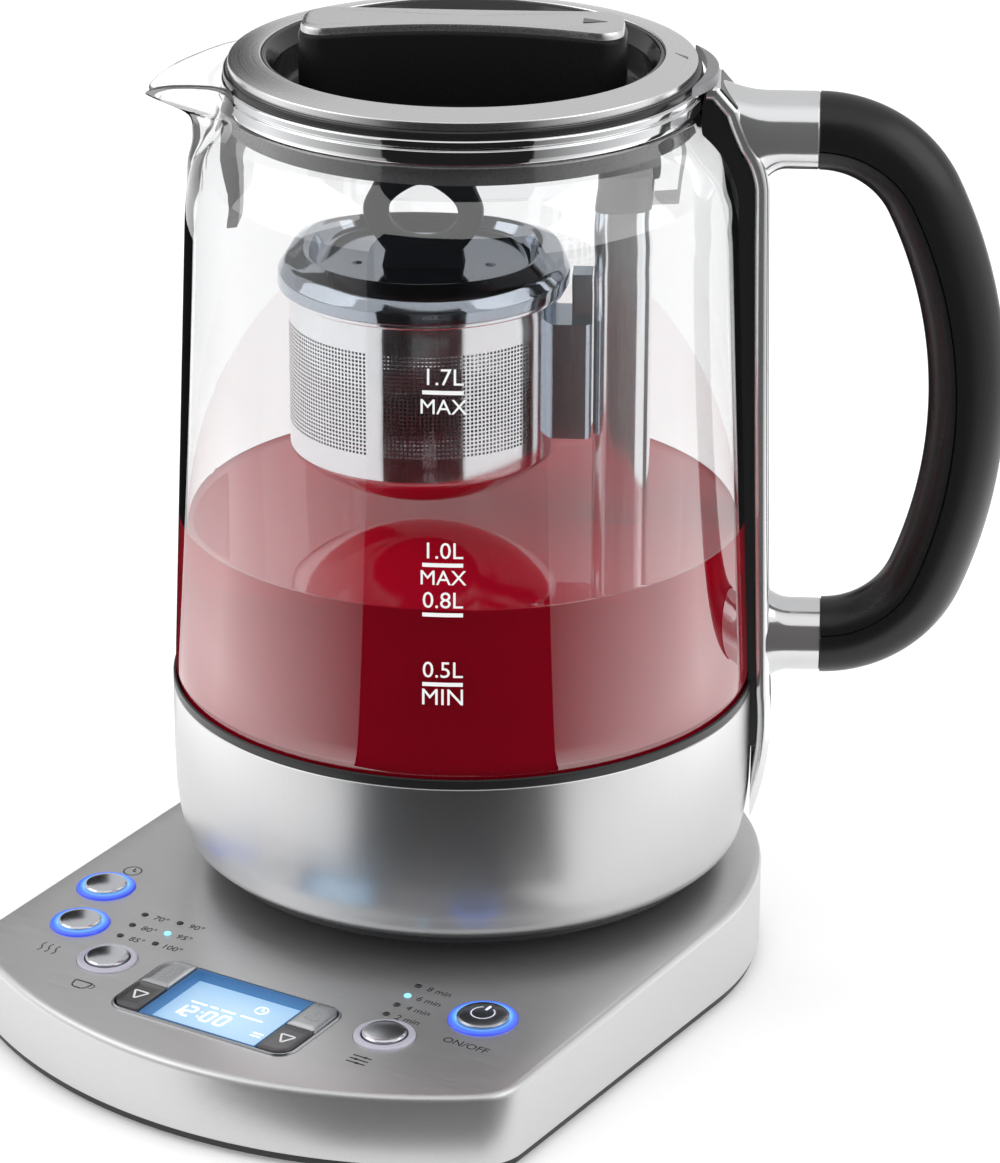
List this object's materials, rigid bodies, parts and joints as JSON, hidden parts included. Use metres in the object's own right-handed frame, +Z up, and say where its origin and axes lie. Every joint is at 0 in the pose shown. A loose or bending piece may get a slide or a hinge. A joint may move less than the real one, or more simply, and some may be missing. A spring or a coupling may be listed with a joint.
{
  "type": "automatic tea maker",
  "caption": "Glass jug with a motor-lowered tea basket, lift-off lid and closed loop handle on a heated cordless base with display and push buttons.",
  "frame": {"origin": "on the table under the axis of the jug and of the dock's connector", "axes": "+Z up along the jug's axis, -Y towards the control panel at the front of the base, +X to the right of a person who faces the panel"},
  "size_m": [0.2044, 0.2152, 0.2534],
  "materials": {
    "black_gloss": "gloss moulded",
    "black_plastic": "satin moulded",
    "black_rubber": "matt",
    "board_green": "solder resist",
    "bright_chrome": "polished",
    "brushed_steel": "fine vertical brushing",
    "button_metal": "bright",
    "cast_aluminium": "as cast",
    "clear_glass": "clear borosilicate",
    "clear_lens": "clear acrylic",
    "contact_brass": "bright",
    "dark_grey_plastic": "satin moulded",
    "grey_silicone": "matt silicone",
    "heater_steel": "satin",
    "lid_steel": "polished",
    "light_grey_plastic": "translucent light grey",
    "mesh_steel": "satin, etched strainer windows",
    "screen": "lit liquid crystal",
    "screw_steel": "zinc plated",
    "silver_ring": "satin",
    "white_plastic": "moulded"
  },
  "bodies": {
    "base": {"base_top_cover": "brushed_steel", "base_bottom_cover": "black_plastic", "base_feet": "black_rubber", "base_screws": "screw_steel", "cable_outlet": "black_rubber", "dock_seat": "black_plastic", "dock_connector": "black_gloss", "dock_contacts": "contact_brass", "power_board": "board_green", "control_board": "board_green", "display_bezel": "dark_grey_plastic", "display_window": "clear_lens", "display_panel": "screen", "button_light_rings": "clear_lens", "tact_switches": "white_plastic", "indicator_lamps": "black_gloss"},
    "jug_coupler": {"jug_coupler": "black_plastic"},
    "jug": {"jug_bottom_cover": "black_plastic", "jug_band": "brushed_steel", "glass_seal": "black_rubber", "heater_plate": "heater_steel", "heating_element": "cast_aluminium", "thermostat": "white_plastic", "temperature_probe": "heater_steel", "lift_motor": "screw_steel", "glass_body": "clear_glass", "collar": "bright_chrome", "collar_skirt": "grey_silicone", "thumb_tab": "silver_ring", "bracket_inlay": "dark_grey_plastic", "handle_bracket": "bright_chrome", "bracket_seal": "black_rubber", "grip_outer": "black_plastic", "grip_inner": "black_plastic", "handle_core": "screw_steel", "handle_sleeves": "bright_chrome", "lift_post": "brushed_steel", "post_cap": "dark_grey_plastic", "post_stay": "light_grey_plastic"},
    "lid": {"lid_body": "black_plastic", "lid_gasket": "grey_silicone", "lid_ring": "silver_ring", "lid_bar": "black_plastic", "lid_bar_plate": "brushed_steel"},
    "basket": {"basket_cup": "mesh_steel", "basket_bracket": "mesh_steel", "basket_magnet": "screw_steel"},
    "basket_lid": {"basket_lid": "lid_steel", "basket_knob": "grey_silicone"},
    "magnet_carriage": {"magnet_carriage": "white_plastic"},
    "lead_screw": {"lead_screw": "screw_steel"},
    "auto_start_button": {"auto_start_button": "button_metal"},
    "keep_warm_button": {"keep_warm_button": "button_metal"},
    "tea_button": {"tea_button": "button_metal"},
    "custom_button": {"custom_button": "button_metal"},
    "power_button": {"power_button": "button_metal"},
    "left_up_key": {"left_up_key": "brushed_steel"},
    "left_down_key": {"left_down_key": "brushed_steel"},
    "right_up_key": {"right_up_key": "brushed_steel"},
    "right_down_key": {"right_down_key": "brushed_steel"}
  },
  "joints": [
    {"name": "jug_lift", "type": "slide", "parent": "base", "child": "jug_coupler", "axis": [0, 0, 1], "range_m": [0, 0.08]},
    {"name": "jug_turn", "type": "hinge", "parent": "jug_coupler", "child": "jug", "pos_m": [0, 0, 0], "axis": [0, 0, 1], "continuous": true},
    {"name": "lid_lift", "type": "slide", "parent": "jug", "child": "lid", "axis": [0, 0, 1], "range_m": [0, 0.06]},
    {"name": "basket_travel", "type": "slide", "parent": "jug", "child": "basket", "axis": [0, 0, 1], "range_m": [-0.044, 0]},
    {"name": "basket_lid_lift", "type": "slide", "parent": "basket", "child": "basket_lid", "axis": [0, 0, 1], "range_m": [0, 0.008]},
    {"name": "carriage_travel", "type": "slide", "parent": "jug", "child": "magnet_carriage", "axis": [0, 0, 1], "range_m": [-0.0442, 0.0001]},
    {"name": "screw_turn", "type": "hinge", "parent": "jug", "child": "lead_screw", "pos_m": [0.03586, 0.01947, 0.1], "axis": [0, 0, 1], "range_deg": [-1982, 2]},
    {"name": "auto_start_press", "type": "slide", "parent": "base", "child": "auto_start_button", "axis": [0, 0.0279, -0.9996], "range_m": [0, 0.001], "stiffness_N_per_m": 600, "springref_m": -0.0015},
    {"name": "keep_warm_press", "type": "slide", "parent": "base", "child": "keep_warm_button", "axis": [0, 0.0279, -0.9996], "range_m": [0, 0.001], "stiffness_N_per_m": 600, "springref_m": -0.0015},
    {"name": "tea_press", "type": "slide", "parent": "base", "child": "tea_button", "axis": [0, 0.0279, -0.9996], "range_m": [0, 0.001], "stiffness_N_per_m": 600, "springref_m": -0.0015},
    {"name": "custom_press", "type": "slide", "parent": "base", "child": "custom_button", "axis": [0, 0.0279, -0.9996], "range_m": [0, 0.001], "stiffness_N_per_m": 600, "springref_m": -0.0015},
    {"name": "power_press", "type": "slide", "parent": "base", "child": "power_button", "axis": [0, 0.0279, -0.9996], "range_m": [0, 0.001], "stiffness_N_per_m": 600, "springref_m": -0.0015},
    {"name": "left_up_press", "type": "slide", "parent": "base", "child": "left_up_key", "axis": [0, 0.0279, -0.9996], "range_m": [0, 0.0008], "stiffness_N_per_m": 600, "springref_m": -0.0015},
    {"name": "left_down_press", "type": "slide", "parent": "base", "child": "left_down_key", "axis": [0, 0.0279, -0.9996], "range_m": [0, 0.0008], "stiffness_N_per_m": 600, "springref_m": -0.0015},
    {"name": "right_up_press", "type": "slide", "parent": "base", "child": "right_up_key", "axis": [0, 0.0279, -0.9996], "range_m": [0, 0.0008], "stiffness_N_per_m": 600, "springref_m": -0.0015},
    {"name": "right_down_press", "type": "slide", "parent": "base", "child": "right_down_key", "axis": [0, 0.0279, -0.9996], "range_m": [0, 0.0008], "stiffness_N_per_m": 600, "springref_m": -0.0015}
  ],
  "couplings": [
    {"joint": "carriage_travel", "follows": "basket_travel", "ratio": 1},
    {"joint": "screw_turn", "follows": "basket_travel", "rad_per_m": 785.4}
  ]
}
